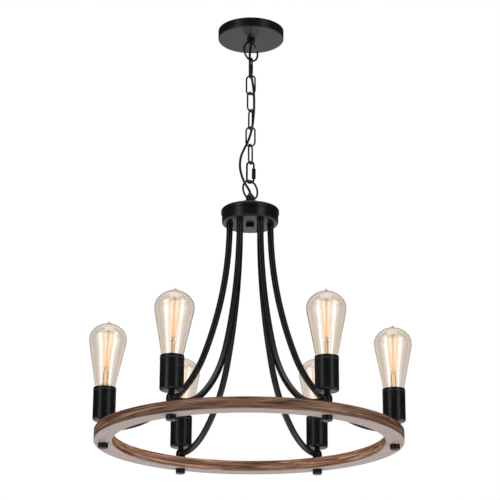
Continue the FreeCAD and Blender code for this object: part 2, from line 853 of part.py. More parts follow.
def make_ring():
    """Flat hoop with chamfered edges and a hole under each knuckle."""
    outer, inner, edge, top = v.ring_radius, v.ring_radius - v.ring_width, v.ring_chamfer, v.ring_height
    points = [(inner + edge, 0), (outer - edge, 0), (outer, edge), (outer, top - edge)]
    points += [(outer - edge, top), (inner + edge, top), (inner, top - edge), (inner, edge)]
    body = turned("ring", points)
    round_holes(body, "ring_hole", [(v.light_circle_radius, 0)], v.thread_hole_radius, LIGHTS)
    return seat(body, "ring", at=v.ring_bottom)


def make_knuckle(number, turn):
    """Barrel on the ring, bored upright for the threaded tubes and sideways for the arm's end."""
    name = f"knuckle_{number}"
    bore, end, top = v.thread_seat_radius, v.knuckle_end_radius, v.knuckle_height
    body = turned(name, [(bore, 0), (end, 0), (end, top), (bore, top)], {1: (v.knuckle_bulge_radius, True)})
    side = new_sketch(body, name + "_side", "YZ_Plane")
    circle_in(side, 0, v.knuckle_bore_height, v.arm_radius + v.arm_seat_fit)
    pocket = body.newObject("PartDesign::Pocket", name + "_side_bore")
    pocket.Profile = side
    pocket.Type = "ThroughAll"
    return seat(body, name, turn, v.light_circle_radius, v.ring_top)


def make_light_fittings():
    """Knuckle, nut and the two threaded tubes at each light."""
    knuckles, nuts, lower, upper = [], [], [], []
    circle = v.light_circle_radius
    for i, turn in enumerate(light_turns()):
        number = i + 1
        knuckles.append(make_knuckle(number, turn))
        nut = closed_nut(
            f"cap_nut_{number}", v.cap_nut_radius, v.cap_nut_height, v.cap_nut_chamfer, v.cap_nut_depth
        )
        nuts.append(seat(nut, nut.Name, turn, circle, v.ring_bottom - v.cap_nut_height))
        length = v.nipple_in_nut + v.ring_height + v.nipple_in_knuckle
        nipple = tube(f"ring_nipple_{number}", v.thread_radius, v.thread_bore_radius, length)
        lower.append(seat(nipple, nipple.Name, turn, circle, v.ring_bottom - v.nipple_in_nut))
        length = v.neck_in_knuckle + v.neck_gap + v.neck_above_floor
        neck = tube(f"socket_nipple_{number}", v.thread_radius, v.thread_bore_radius, length)
        upper.append(seat(neck, neck.Name, turn, circle, v.knuckle_top - v.neck_in_knuckle))
    return [
        group("knuckles", knuckles),
        group("cap_nuts", nuts),
        group("ring_nipples", lower),
        group("socket_nipples", upper),
    ]


def make_socket_cup(number, turn):
    """Deep cup with a rounded foot and a fine bead under its rim."""
    name = f"socket_cup_{number}"
    rim, wall, top, hole = v.cup_radius, v.cup_wall, v.cup_height, v.thread_hole_radius
    bead = top - v.cup_bead_drop
    proud = rim + v.cup_bead_rise
    half = v.cup_bead_height / 2
    points = [(hole, 0), (rim, 0), (rim, bead - half), (proud, bead), (rim, bead + half)]
    points += [(rim, top), (rim - wall, top), (rim - wall, wall), (hole, wall)]
    body = turned(name, points)
    round_edge(body, name + "_foot", v.cup_edge_radius, [(rim, 0)])
    round_edge(body, name + "_inner_foot", v.cup_edge_radius - v.cup_wall, [(rim - wall, wall)])
    return seat(body, name, turn, v.light_circle_radius, v.cup_bottom)


def make_lampholder(number, turn):
    """Screw lampholder that stands on the cup's floor, with a raised centre contact."""
    name = f"lampholder_{number}"
    cavity = v.cap_radius + v.holder_cap_play
    floor, top, outer = v.holder_cavity_floor, v.holder_height, v.holder_radius
    depth = v.holder_thread_depth
    foot = v.holder_radius - v.cup_edge_radius
    points = [(v.thread_seat_radius, 0), (foot, 0), (outer, v.cup_edge_radius), (outer, top)]
    points += [(cavity, top), (cavity, floor), (0, floor), (0, depth), (v.thread_seat_radius, depth)]
    body = turned(name, points)
    return seat(body, name, turn, v.light_circle_radius, v.cup_bottom + v.cup_wall)


def make_bulb_cap(number, turn):
    """Screw cap: a metal shell over an insulating cone and a centre contact."""
    name = f"bulb_cap_{number}"
    rim, wall, top = v.cap_radius, v.cap_wall, v.cap_height
    shell = top - v.cap_shell_height
    points = [(0, 0), (v.cap_tip_radius, 0), (v.cap_tip_radius, v.cap_tip_height), (rim, shell), (rim, top)]
    points += [(rim - wall, top), (rim - wall, v.cap_floor_height), (0, v.cap_floor_height)]
    body = turned(name, points)
    return seat(body, name, turn, v.light_circle_radius, v.bulb_bottom)


def root(size):
    """The square root of a Size."""
    return Size(f"sqrt({size.formula})", math.sqrt(size.number))


def glass_outline(inset):
    """Half of the bulb's outline about its cap's top, moved in by inset: neck, flare, cone, side, oval dome."""
    angle, side = v.glass_cone_angle, v.glass_side_radius
    neck = v.cap_radius - v.cap_wall - v.neck_play - inset
    widest, shoulder = v.glass_radius - inset, v.glass_body_height
    turn = side - inset
    cone_top = (widest - turn * (1 - cosine(angle)), shoulder - turn * sine(angle))
    slope = sine(angle) / cosine(angle)
    foot_height = v.glass_neck_rise
    cone_foot = (cone_top[0] - (cone_top[1] - foot_height) * slope, foot_height)
    small = v.glass_dome_height * v.dome_shoulder_share
    offset = v.glass_radius - small
    drop = (offset * offset / (v.glass_dome_height - small) - v.glass_dome_height + small) / 2
    large = drop + v.glass_dome_height
    reach = (small - inset) / (large - small)
    meet = (offset + offset * reach, shoulder + drop * reach)
    points = [(neck, -v.neck_sink), (neck, 0), cone_foot, cone_top, (widest, shoulder), meet]
    bends = {3: (turn, True), 4: (small - inset, True), 5: (large - inset, True)}
    return points, bends, large - inset, shoulder - drop


def make_bulb_glass(number, turn):
    """Thin glass envelope, open at its neck inside the cap, with a sealed tip."""
    name = f"bulb_glass_{number}"
    outer, bends, large, middle = glass_outline(as_size(0))
    inner, inner_bends, inner_large, _ = glass_outline(v.glass_wall)
    tip = v.glass_tip_radius
    foot = tip + v.glass_tip_flare
    top = v.glass_body_height + v.glass_dome_height + v.glass_tip_height
    outer.append((foot, middle + root(large * large - foot * foot)))
    outer.append((tip, top - tip))
    outer.append((0, top))
    bends[6] = (v.glass_tip_height, False)
    bends[7] = (tip, True)
    inner.append((0, middle + inner_large))
    for i, (radius, _) in inner_bends.items():
        bends[len(outer) + len(inner) - 2 - i] = (radius, False)
    body = turned(name, outer + inner[::-1], bends)
    return seat_bulb_part(body, name, number, turn)


def seat_bulb_part(thing, name, number, turn):
    """Places glass or filament on the cap's top, leaning and lifted as that bulb's glass is."""
    lift = BULB_LIFTS[number - 1] * v.bulb_glass_lift
    seat(thing, name, turn, v.light_circle_radius, v.bulb_bottom + v.cap_height + lift)
    lean = Rotation(Vector(0, 1, 0), BULB_LEANS[number - 1])
    thing.Placement = Placement(thing.Placement.Base, lean.multiply(thing.Placement.Rotation))
    return thing


def make_filament(number, turn):
    """Glass mount from a foot in the neck, with a cage of upright strands between two collars."""
    name = f"bulb_filament_{number}"
    foot, stem, tip = v.mount_foot_radius, v.mount_stem_radius, v.mount_tip_radius
    top = v.glass_body_height + v.glass_dome_height - v.mount_tip_drop
    low = v.cage_foot_rise
    high = top - v.cage_collar_height
    collar = v.cage_radius + 2 * v.cage_wire_radius
    band = v.cage_collar_height
    base = -v.neck_sink
    points = [(0, base), (foot, base), (foot, base + band), (stem, low - foot), (stem, low)]
    points += [(collar, low), (collar, low + band), (stem, low + band), (tip, high), (collar, high)]
    points += [(collar, top), (0, top)]
    mount = turned(name + "_mount", points)
    parts = [mount]
    for i in range(CAGE_STRANDS):
        direction = Rotation(Vector(0, 0, 1), 360 / CAGE_STRANDS * i).multVec(Vector(1, 0, 0))
        place = (v.cage_radius * direction.x, v.cage_radius * direction.y, low + band / 2)
        sizes = {"Radius": v.cage_wire_radius, "Height": high - low}
        parts.append(solid("Part::Cylinder", f"{name}_strand_{i + 1}", sizes, place))
    return seat_bulb_part(joined(name, parts), name, number, turn)


def cable_path(points):
    """Straight runs joined by tangent arcs, each as large as its two runs allow, and the arcs' radii."""
    edges, radii = [], []
    start = points[0]
    for before, corner, after in zip(points, points[1:], points[2:]):
        back, ahead = before - corner, after - corner
        trim = CABLE_TRIM_SHARE * min(back.Length, ahead.Length)
        half_turn = (math.pi - back.getAngle(ahead)) / 2
        radii.append(trim / math.tan(half_turn))
        back.normalize()
        ahead.normalize()
        first, last = corner + back * trim, corner + ahead * trim
        inward = (back + ahead).normalize()
        through = corner + inward * (radii[-1] / math.cos(half_turn) - radii[-1])
        edges.append(Part.LineSegment(start, first).toShape())
        edges.append(Part.Arc(first, through, last).toShape())
        start = last
    edges.append(Part.LineSegment(start, points[-1]).toShape())
    return Part.Wire(edges), radii


def make_supply_cable():
    """Round lead from the canopy loop's bore, down through the chain, into the hub stem's bore."""
    points = [Vector(*p) for p in CABLE_ROUTE]
    path, radii = cable_path(points)
    print("cable radii", [round(r, 1) for r in radii])
    ahead = points[1] - points[0]
    section = Part.Wire(Part.Circle(points[0], ahead, v.cable_radius.number).toShape())
    shape = path.makePipeShell([section], True, True)
    expected = math.pi * v.cable_radius.number**2 * path.Length
    print("cable length", round(path.Length, 1), "volume share", round(shape.Volume / expected, 4))
    cable = doc.addObject("Part::Feature", "supply_cable")
    cable.Shape = shape
    cable.Placement = Placement()
    cable.Label = "supply_cable"
    return cable


def make_parts():
    """Every sub-part, each with its node's name as its label."""
    arm_bends()
    parts = [
        make_crossbar(),
        make_ground_screw(),
        make_canopy_nipple(),
        make_nipple_locknut(),
        make_canopy(),
        make_canopy_loop(),
        make_supply_cable(),
        make_hub_loop(),
        make_hub_cap(),
        make_hub_cup(),
        make_hub_rod(),
        make_hub_nut(),
        make_ring(),
    ]
    parts += make_chain() + make_quick_link() + make_arm_fastenings() + make_light_fittings()
    holders = []
    for i, turn in enumerate(light_turns()):
        number = i + 1
        parts.append(make_arm(number, turn))
        parts.append(make_socket_cup(number, turn))
        holders.append(make_lampholder(number, turn))
        parts.append(make_bulb_cap(number, turn))
        parts.append(make_bulb_glass(number, turn))
        parts.append(make_filament(number, turn))
    parts.append(group("lampholders", holders))
    return parts


def check(parts):
    """Stops at a failed feature or a bad shape."""
    failed = [t.Label for t in doc.Objects if "Invalid" in t.State or "Error" in t.State]
    failed += [p.Label for p in parts if p.Shape.isNull() or not p.Shape.isValid()]
    if failed:
        raise ValueError(f"failed: {failed}")


def export(parts):
    """One STEP file for each sub-part."""
    os.makedirs("parts", exist_ok=True)
    for part in parts:
        part.Shape.exportStep(f"parts/{part.Label}.step")


finished = make_parts()
doc.recompute()
check(finished)
export(finished)
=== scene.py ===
import math

import bmesh
import bpy
from mathutils import Matrix, Vector


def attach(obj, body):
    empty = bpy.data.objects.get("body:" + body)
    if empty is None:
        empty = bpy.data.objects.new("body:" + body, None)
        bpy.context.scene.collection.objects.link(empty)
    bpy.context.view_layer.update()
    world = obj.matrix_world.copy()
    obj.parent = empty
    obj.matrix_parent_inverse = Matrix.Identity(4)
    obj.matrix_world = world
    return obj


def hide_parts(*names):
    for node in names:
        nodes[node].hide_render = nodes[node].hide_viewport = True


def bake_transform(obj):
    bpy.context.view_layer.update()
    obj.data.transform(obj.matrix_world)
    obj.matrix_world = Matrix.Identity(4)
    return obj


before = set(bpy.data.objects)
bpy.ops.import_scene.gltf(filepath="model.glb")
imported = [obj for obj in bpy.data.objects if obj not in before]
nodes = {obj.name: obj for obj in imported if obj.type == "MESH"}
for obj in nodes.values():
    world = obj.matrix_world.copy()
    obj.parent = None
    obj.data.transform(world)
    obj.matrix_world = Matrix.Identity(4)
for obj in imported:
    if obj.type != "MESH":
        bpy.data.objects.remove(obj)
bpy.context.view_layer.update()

LIGHTS = 6
LINKS = 6

# Places and sizes that the pieces below share, in metres

HOOP_OUTSIDE = 0.260
HOOP_INSIDE = 0.229
LIGHT_CIRCLE = (HOOP_OUTSIDE + HOOP_INSIDE) / 2
BULB_CAP_TOP = -0.6708
BULB_LEANS = (0, 0, 0, 2, 1.5, 0)
BULB_LIFTS = (0, 0, 0, 0.0048, 0, 0)

# Points of the supply cable, from the canopy loop's bore to the hub stem's bore
CABLE_ROUTE = (
    (0, 0, -0.019),
    (0, 0, -0.027),
    (-0.0012, -0.0023, -0.038),
    (-0.0021, -0.0067, -0.049),
    (-0.002, -0.0099, -0.06),
    (-0.0012, -0.0112, -0.072),
    (0.0001, -0.011, -0.084),
    (0.0018, -0.0096, -0.096),
    (0.0038, -0.0078, -0.108),
    (0.0055, -0.0057, -0.121),
    (0.0062, -0.0037, -0.134),
    (0.0062, -0.0017, -0.147),
    (0.0057, 0.0007, -0.16),
    (0.0045, 0.0035, -0.173),
    (0.0028, 0.0056, -0.185),
    (0.0003, 0.0064, -0.196),
    (-0.0028, 0.0061, -0.207),
    (-0.0072, 0.0051, -0.218),
    (-0.0124, 0.0039, -0.229),
    (-0.0165, 0.0027, -0.24),
    (-0.0184, 0.0017, -0.252),
    (-0.0183, 0.0009, -0.264),
    (-0.0159, 0.0004, -0.276),
    (-0.0121, 0.0001, -0.287),
    (-0.0073, 0, -0.2965),
    (-0.0027, 0, -0.3036),
    (0, 0, -0.3102),
    (0, 0, -0.3162),
)
ROUTE_STEPS = 12
ROUTE_ORDER = 3
CABLE_DIAMETER = 0.0043
CABLE_SIDES = 20

# How far the place close to a stretch's end lies from it, as a share of the last step
END_SHARE = 0.01

# The cable is in stretches, each over one joint of the chain, cut at the links' middles
CABLE_CUTS = (-0.07195, -0.1051, -0.13825, -0.1714, -0.20455, -0.2377, -0.27215)


# Materials

# Refraction of paint, varnish and glass
SURFACE_IOR = 1.5

# The mixing node's sockets for colours
MIX_SHARE, MIX_FIRST, MIX_SECOND, MIX_RESULT = 0, 6, 7, 2

# Noise at which a change of sheen starts and is full, then the same for a change of tone
SHEEN_BAND = (0.3, 0.7)
TONE_BAND = (0.35, 0.65)

# Satin coating: how strongly it mirrors, how fine its clouds and its drift in tone are, and where
# and how much lighter it drifts
PAINT_SPECULAR = 0.32
PAINT_CLOUD_SCALE = 55.0
PAINT_DRIFT_SCALE = 18.0
PAINT_DRIFT_BAND = (0.35, 0.7)
PAINT_DRIFT_GAIN = 1.9

# Metal: how dark its blotches are, the roughness of dark and of bright ones, how fine its grain is
METAL_DARK_SHARE = 0.72
METAL_ROUGH_SHARE = 1.3
METAL_POLISHED_SHARE = 0.8
METAL_GRAIN_FINENESS = 25


def add(tree, kind, values=None, **settings):
    """A shader node, with its settings and its inputs' values or links."""
    node = tree.nodes.new("ShaderNode" + kind)
    for name, setting in settings.items():
        setattr(node, name, setting)
    for name, value in (values or {}).items():
        if isinstance(value, bpy.types.NodeSocket):
            tree.links.new(value, node.inputs[name])
        else:
            node.inputs[name].default_value = value
    return node


def new_material(name, values):
    """A material with one principled shader, its values set, and its parts to link to."""
    material = bpy.data.materials.new(name)
    material.use_nodes = True
    tree = material.node_tree
    shader = tree.nodes["Principled BSDF"]
    for socket, value in values.items():
        shader.inputs[socket].default_value = value
    return material, tree, shader


def place_of(tree):
    """Where a point is on the object, in metres, moving with the object."""
    return add(tree, "TexCoord").outputs["Object"]


def noise(tree, vector, scale, detail=3.0, roughness=0.5):
    """The value of a noise over the surface."""
    values = {"Vector": vector, "Scale": scale, "Detail": detail, "Roughness": roughness}
    return add(tree, "TexNoise", values).outputs["Fac"]


def ranged(tree, value, low, high, to_low, to_high):
    """A value moved from one range into another."""
    values = {"Value": value, "From Min": low, "From Max": high, "To Min": to_low, "To Max": to_high}
    return add(tree, "MapRange", values).outputs["Result"]


def maths(tree, operation, first, second=0.0):
    """One sum of two values."""
    return add(tree, "Math", {0: first, 1: second}, operation=operation).outputs["Value"]


def mixed(tree, share, first, second):
    """Two colours mixed."""
    values = {MIX_SHARE: share, MIX_FIRST: first, MIX_SECOND: second}
    return add(tree, "Mix", values, data_type="RGBA").outputs[MIX_RESULT]


def bumped(tree, shader, height, distance, strength=1.0):
    """A bump from a height between 0 and 1, over a distance in metres."""
    node = add(tree, "Bump", {"Height": height, "Distance": distance, "Strength": strength})
    tree.links.new(node.outputs["Normal"], shader.inputs["Normal"])


def black_paint(name, colour, roughness, spread, grain, depth):
    """Satin black coating: cloudy sheen, a fine orange-peel grain and a slight drift in tone."""
    material, tree, shader = new_material(name, {"Specular IOR Level": PAINT_SPECULAR, "IOR": SURFACE_IOR})
    place = place_of(tree)
    clouds = noise(tree, place, PAINT_CLOUD_SCALE, 4.0, 0.6)
    tone = noise(tree, place, PAINT_DRIFT_SCALE, 2.0)
    light = tuple(PAINT_DRIFT_GAIN * c for c in colour)
    share = ranged(tree, tone, *PAINT_DRIFT_BAND, 0.0, 1.0)
    tree.links.new(mixed(tree, share, (*colour, 1), (*light, 1)), shader.inputs["Base Color"])
    sheen = ranged(tree, clouds, *SHEEN_BAND, roughness - spread, roughness + spread)
    tree.links.new(sheen, shader.inputs["Roughness"])
    bumped(tree, shader, noise(tree, place, grain, 2.0), depth)
    return material


def metal(name, colour, roughness, scale, depth):
    """Bare or plated metal with soft blotches and a fine brushed grain."""
    material, tree, shader = new_material(name, {"Metallic": 1.0})
    place = place_of(tree)
    blotches = noise(tree, place, scale, 4.0, 0.6)
    dark = tuple(METAL_DARK_SHARE * c for c in colour)
    share = ranged(tree, blotches, *TONE_BAND, 0.0, 1.0)
    tree.links.new(mixed(tree, share, (*dark, 1), (*colour, 1)), shader.inputs["Base Color"])
    rough, polished = roughness * METAL_ROUGH_SHARE, roughness * METAL_POLISHED_SHARE
    sheen = ranged(tree, blotches, *SHEEN_BAND, rough, polished)
    tree.links.new(sheen, shader.inputs["Roughness"])
    bumped(tree, shader, noise(tree, place, scale * METAL_GRAIN_FINENESS, 2.0), depth)
    return material


# Tones of the wood, from its cracks to its pale flecks, and the paler painted light of its underside
WOOD_CRACK = (0.040, 0.018, 0.012, 1)
WOOD_PORE = (0.06, 0.028, 0.017, 1)
WOOD_DEEP = (0.105, 0.043, 0.022, 1)
WOOD_BROWN = (0.24, 0.112, 0.060, 1)
WOOD_LIGHT = (0.42, 0.235, 0.140, 1)
WOOD_FLECK = (0.52, 0.34, 0.235, 1)
WOOD_UNDERSIDE_PAINTED_LIGHT = (0.36, 0.285, 0.27, 1)

# Each kind of streak as (scale along the grain and across it, detail, roughness, distortion)
WOOD_BROAD_STREAKS = (7.0, 230.0, 4.0, 0.65, 0.4)
WOOD_FINE_STREAKS = (20.0, 800.0, 3.0, 0.6, 0.0)
WOOD_LINE_STREAKS = (14.0, 600.0, 2.0, 0.5, 0.5)
WOOD_PALE_STREAKS = (13.0, 540.0, 2.0, 0.5, 0.3)

# Each band as (streak value where it starts and where it ends, share of its tone there and there)
WOOD_TONE_BAND = (0.33, 0.67, 0.0, 1.0)
WOOD_PORE_BAND = (0.40, 0.60, 0.55, 0.0)
WOOD_FLECK_BAND = (0.54, 0.59, 0.0, 0.65)
WOOD_CRACK_BAND = (0.545, 0.585, 0.0, 0.85)

# Painted light and shade: the wood's tone scaled at the hoop's inner and outer edge; where the underside
# turns to its painted light (by how far the surface faces down); and the roughness of pores and of the wood
# between them
WOOD_RADIUS_LIGHT_AND_SHADE = (1.25, 0.64)
WOOD_UNDERSIDE_LIGHT_BAND = (-0.5, -0.95, 0.0, 0.85)
WOOD_ROUGHNESS = (0.46, 0.32)
WOOD_SPECULAR = 0.2
WOOD_GRAIN_DEPTH = 0.0003
WOOD_GRAIN_STRENGTH = 0.6


def wood(name):
    """Weathered brown wood whose grain runs round the hoop."""
    material, tree, shader = new_material(name, {"Specular IOR Level": WOOD_SPECULAR, "IOR": SURFACE_IOR})
    split = add(tree, "SeparateXYZ", {"Vector": place_of(tree)})
    across, away, up = (split.outputs[axis] for axis in "XYZ")
    angle = maths(tree, "ARCTAN2", away, across)
    flat = add(tree, "CombineXYZ", {"X": across, "Y": away})
    radius = add(tree, "VectorMath", {0: flat.outputs[0]}, operation="LENGTH").outputs["Value"]

    def streaks(along, fine, detail, roughness, distortion):
        """Noise drawn out along the hoop: its scale along and across the grain, per metre."""
        turn = maths(tree, "MULTIPLY", along, LIGHT_CIRCLE)
        values = {
            "X": maths(tree, "MULTIPLY", maths(tree, "COSINE", angle), turn),
            "Y": maths(tree, "MULTIPLY", maths(tree, "SINE", angle), turn),
            "Z": maths(tree, "MULTIPLY", up, fine),
        }
        vector = add(tree, "CombineXYZ", values).outputs["Vector"]
        inputs = {
            "Vector": vector,
            "W": maths(tree, "MULTIPLY", radius, fine),
            "Scale": 1.0,
            "Detail": detail,
            "Roughness": roughness,
            "Distortion": distortion,
        }
        return add(tree, "TexNoise", inputs, noise_dimensions="4D").outputs["Fac"]

    broad = streaks(*WOOD_BROAD_STREAKS)
    fine = streaks(*WOOD_FINE_STREAKS)
    lines = streaks(*WOOD_LINE_STREAKS)
    pale = streaks(*WOOD_PALE_STREAKS)

    tone = add(tree, "ValToRGB", {"Fac": ranged(tree, broad, *WOOD_TONE_BAND)})
    ramp = tone.color_ramp
    ramp.elements[0].color = WOOD_DEEP
    ramp.elements[1].color = WOOD_LIGHT
    middle = ramp.elements.new(0.5)
    middle.color = WOOD_BROWN
    dark_fine = ranged(tree, fine, *WOOD_PORE_BAND)
    base = mixed(tree, dark_fine, tone.outputs["Color"], WOOD_PORE)
    light = ranged(tree, pale, *WOOD_FLECK_BAND)
    base = mixed(tree, light, base, WOOD_FLECK)
    dark_lines = ranged(tree, lines, *WOOD_CRACK_BAND)
    base = mixed(tree, dark_lines, base, WOOD_CRACK)
    # Painted light and shade: the wood made lighter at the hoop's inner edge and darker at its outer edge
    radius_light_and_shade = ranged(tree, radius, HOOP_INSIDE, HOOP_OUTSIDE, *WOOD_RADIUS_LIGHT_AND_SHADE)
    base = add(tree, "VectorMath", {0: base, "Scale": radius_light_and_shade}, operation="SCALE").outputs["Vector"]
    # Painted light: the underside, where the surface faces down, turned paler as if lit by the bright floor
    down = add(tree, "SeparateXYZ", {"Vector": add(tree, "TexCoord").outputs["Normal"]}).outputs["Z"]
    underside_light = ranged(tree, down, *WOOD_UNDERSIDE_LIGHT_BAND)
    base = mixed(tree, underside_light, base, WOOD_UNDERSIDE_PAINTED_LIGHT)
    tree.links.new(base, shader.inputs["Base Color"])
    sheen = ranged(tree, fine, *SHEEN_BAND, *WOOD_ROUGHNESS)
    tree.links.new(sheen, shader.inputs["Roughness"])
    height = maths(tree, "SUBTRACT", fine, dark_lines)
    bumped(tree, shader, height, WOOD_GRAIN_DEPTH, WOOD_GRAIN_STRENGTH)
    return material


# Painted dark rim: grey painted where the glass is seen along its surface, at the edge of a bulb
GLASS_PAINTED_DARK_RIM = (0.62, 0.61, 0.60)

# Each band as (slant of the surface where it starts and where it ends, share there and there): a deeper tint
# that is partly painted shade, a painted bright band, and the painted dark rim
GLASS_SLANT_BLEND = 0.5
GLASS_TINT_AND_SHADE_BAND = (0.08, 0.26, 0.0, 1.0)
GLASS_PAINTED_BRIGHT_BAND = (0.42, 0.56, 0.0, 0.8)
GLASS_PAINTED_RIM_BAND = (0.74, 0.97, 0.0, 1.0)

# The waves from the blowing
GLASS_WAVE_SCALE = 45.0
GLASS_WAVE_DEPTH = 0.00005
GLASS_WAVE_STRENGTH = 0.3


def clear_glass(name, face_on, edge_on_tint_and_shade, tint, density):
    """Clear blown glass with slow waves from the blowing, its tint deeper where it is seen edge on, partly
    painted shade, then a painted bright band and a painted dark rim.
    """
    values = {"Transmission Weight": 1.0, "IOR": SURFACE_IOR, "Roughness": 0.0}
    material, tree, shader = new_material(name, values)
    facing = add(tree, "LayerWeight", {"Blend": GLASS_SLANT_BLEND}).outputs["Facing"]
    # Deeper tint towards the edge, partly real and partly painted shade
    tint_and_shade = ranged(tree, facing, *GLASS_TINT_AND_SHADE_BAND)
    body = mixed(tree, tint_and_shade, (*face_on, 1), (*edge_on_tint_and_shade, 1))
    # Painted bright band, back to the clear tint
    painted_bright = ranged(tree, facing, *GLASS_PAINTED_BRIGHT_BAND)
    body = mixed(tree, painted_bright, body, (*face_on, 1))
    # Painted dark rim at the very edge
    painted_rim = ranged(tree, facing, *GLASS_PAINTED_RIM_BAND)
    tree.links.new(mixed(tree, painted_rim, body, (*GLASS_PAINTED_DARK_RIM, 1)), shader.inputs["Base Color"])
    waves = noise(tree, place_of(tree), GLASS_WAVE_SCALE, 1.0)
    bumped(tree, shader, waves, GLASS_WAVE_DEPTH, GLASS_WAVE_STRENGTH)
    soak = add(tree, "VolumeAbsorption", {"Color": (*tint, 1), "Density": density})
    tree.links.new(soak.outputs["Volume"], tree.nodes["Material Output"].inputs["Volume"])
    return material


FILAMENT_ROUGHNESS = 0.4
FILAMENT_UNEVEN_SCALE = 400.0
FILAMENT_DIM_SHARE = 0.62


def glowing(name, colour, glow, strength):
    """A filament with a dim painted glow, a little uneven along the wire."""
    # Painted glow: a dim emission that makes the filament's orange read brighter
    values = {"Roughness": FILAMENT_ROUGHNESS, "Emission Strength": strength}
    material, tree, shader = new_material(name, values)
    uneven = noise(tree, place_of(tree), FILAMENT_UNEVEN_SCALE, 2.0)
    dim = tuple(FILAMENT_DIM_SHARE * c for c in glow)
    share = ranged(tree, uneven, *TONE_BAND, 0.0, 1.0)
    tree.links.new(mixed(tree, share, (*dim, 1), (*glow, 1)), shader.inputs["Emission Color"])
    shader.inputs["Base Color"].default_value = (*colour, 1)
    return material


BLACK = black_paint("black_satin", (0.0020, 0.0017, 0.0018), 0.33, 0.05, 2200.0, 0.00002)
BLACK_CHAIN = black_paint("black_wire", (0.0022, 0.0020, 0.0021), 0.30, 0.06, 1500.0, 0.000006)
CABLE_SKIN = black_paint("black_cable", (0.006, 0.006, 0.0065), 0.42, 0.04, 3000.0, 0.000008)
HOLDER = black_paint("black_moulding", (0.012, 0.011, 0.011), 0.5, 0.05, 1200.0, 0.00003)
ZINC = metal("zinc_plate", (0.62, 0.62, 0.60), 0.34, 90.0, 0.00001)
GREEN = metal("green_plate", (0.10, 0.33, 0.14), 0.36, 90.0, 0.00001)
BRASS = metal("bulb_brass", (0.83, 0.62, 0.32), 0.26, 120.0, 0.00001)
WOOD = wood("weathered_wood")
GLASS = clear_glass("amber_glass", (1.0, 0.99, 0.97), (0.74, 0.672, 0.60), (0.80, 0.64, 0.46), 150.0)
MOUNT_GLASS = clear_glass("mount_glass", (0.94, 0.76, 0.46), (0.78, 0.55, 0.28), (0.86, 0.68, 0.42), 60.0)
FILAMENT = glowing("filament", (0.85, 0.45, 0.2), (1.0, 0.47, 0.12), 0.95)
LEAD_WIRE = metal("lead_wire", (0.60, 0.45, 0.22), 0.35, 200.0, 0.00001)


def dress(material, *names):
    """Gives the solids' own pieces a material."""
    for name in names:
        node = nodes[name]
        if not node.material_slots:
            node.data.materials.append(material)
        for slot in node.material_slots:
            slot.material = material


def numbered(name):
    """The names of the six like nodes."""
    return [f"{name}_{i + 1}" for i in range(LIGHTS)]


# Camera

CAMERA_PLACE = (0.00009, -2.98806, -1.4046)
CAMERA_PITCH = math.radians(18.307)
CAMERA_ROLL = math.radians(0.276)
CAMERA_LENS = 130.59
CAMERA_SENSOR = 36
CAMERA_REACH = 50

camera = bpy.data.objects.new("camera", bpy.data.cameras.new("camera"))
bpy.context.collection.objects.link(camera)
camera.matrix_world = (
    Matrix.Translation(CAMERA_PLACE)
    @ Matrix.Rotation(math.pi / 2 + CAMERA_PITCH, 4, "X")
    @ Matrix.Rotation(CAMERA_ROLL, 4, "Z")
)
camera.data.sensor_width = CAMERA_SENSOR
camera.data.lens = CAMERA_LENS
camera.data.clip_end = CAMERA_REACH
bpy.context.scene.camera = camera
bpy.context.scene.view_settings.view_transform = "Standard"


# Supply cable


def new_piece(name, mesh, material):
    """A piece from a mesh, with its name and its material."""
    piece = bpy.data.objects.new(name, mesh)
    bpy.context.collection.objects.link(piece)
    mesh.materials.append(material)
    return piece


def smooth(mesh):
    """Shades a mesh's three-sided and four-sided faces smooth, and not its round ends."""
    for face in mesh.polygons:
        face.use_smooth = len(face.vertices) <= 4


def route_points(route):
    """Points along the smooth curve that the route's points control."""
    curve = bpy.data.curves.new("route", "CURVE")
    curve.dimensions = "3D"
    curve.resolution_u = ROUTE_STEPS
    spline = curve.splines.new("NURBS")
    spline.points.add(len(route) - 1)
    for point, place in zip(spline.points, route):
        point.co = (*place, 1)
    spline.order_u = ROUTE_ORDER
    spline.use_endpoint_u = True
    holder = bpy.data.objects.new("route", curve)
    mesh = bpy.data.meshes.new_from_object(holder)
    points = [v.co.copy() for v in mesh.vertices]
    bpy.data.objects.remove(holder)
    bpy.data.curves.remove(curve)
    bpy.data.meshes.remove(mesh)
    return points


def framed(points):
    """Each point of a path with two directions square to the path there, without twist."""
    frames = []
    side = (points[1] - points[0]).orthogonal().normalized()
    for i, point in enumerate(points):
        before, after = points[max(i - 1, 0)], points[min(i + 1, len(points) - 1)]
        tangent = (after - before).normalized()
        side = (side - tangent * side.dot(tangent)).normalized()
        frames.append((point, side, tangent.cross(side)))
    return frames


def held(frames):
    """A framed path with one more place close to each end, so that the shading stays even up to it."""
    first, last = frames[0], frames[-1]
    after_first = (first[0].lerp(frames[1][0], END_SHARE), first[1], first[2])
    before_last = (last[0].lerp(frames[-2][0], END_SHARE), last[1], last[2])
    return [first, after_first, *frames[1:-1], before_last, last]


def tube_mesh(name, frames, radius, sides):
    """A round tube through the points of a framed path, with closed ends."""
    made = bmesh.new()
    rings = []
    for point, side, other in frames:
        ring = []
        for k in range(sides):
            turn = 2 * math.pi * k / sides
            out = side * math.cos(turn) + other * math.sin(turn)
            ring.append(made.verts.new(point + out * radius))
        rings.append(ring)
    for first, second in zip(rings, rings[1:]):
        for k in range(sides):
            after = (k + 1) % sides
            made.faces.new((first[k], first[after], second[after], second[k]))
    made.faces.new(rings[0][::-1])
    made.faces.new(rings[-1])
    mesh = bpy.data.meshes.new(name)
    made.to_mesh(mesh)
    made.free()
    smooth(mesh)
    return mesh


